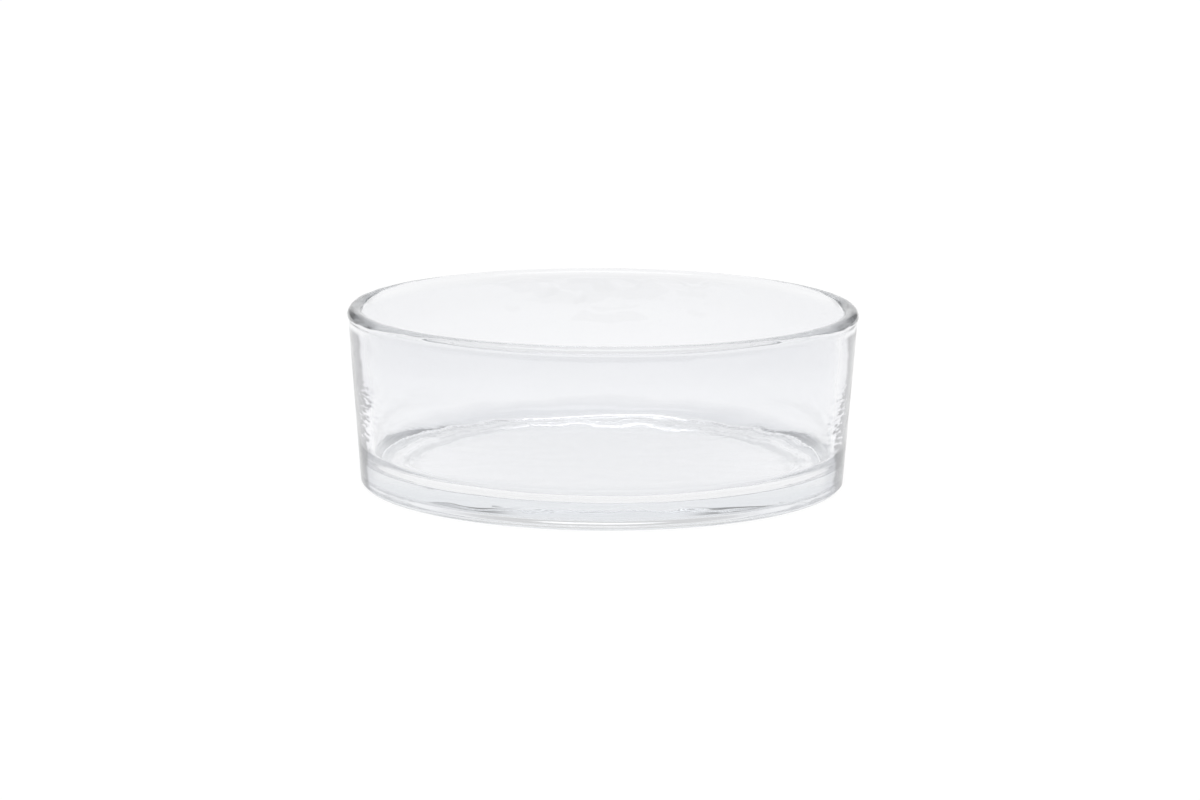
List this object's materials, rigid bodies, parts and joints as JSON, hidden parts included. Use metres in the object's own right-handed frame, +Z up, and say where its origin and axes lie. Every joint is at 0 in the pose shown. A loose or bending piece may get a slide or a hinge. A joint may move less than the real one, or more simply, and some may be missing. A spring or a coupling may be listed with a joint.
{
  "type": "crystallizing dish",
  "caption": "Low round open dish of thick clear glass: slightly flared straight wall, fully round rim, rounded inner corner, thick flat floor, no spout.",
  "frame": {"origin": "centre of the stand ring, in the plane that the dish rests on", "axes": "+Z up along the dish's axis of rotation, from the stand ring to the open rim; X and Y are any two square directions across it"},
  "size_m": [0.23, 0.23, 0.08],
  "materials": {
    "clear_glass": "fire-polished, clear and colourless"
  },
  "bodies": {
    "root": {"dish": "clear_glass"}
  },
  "joints": []
}
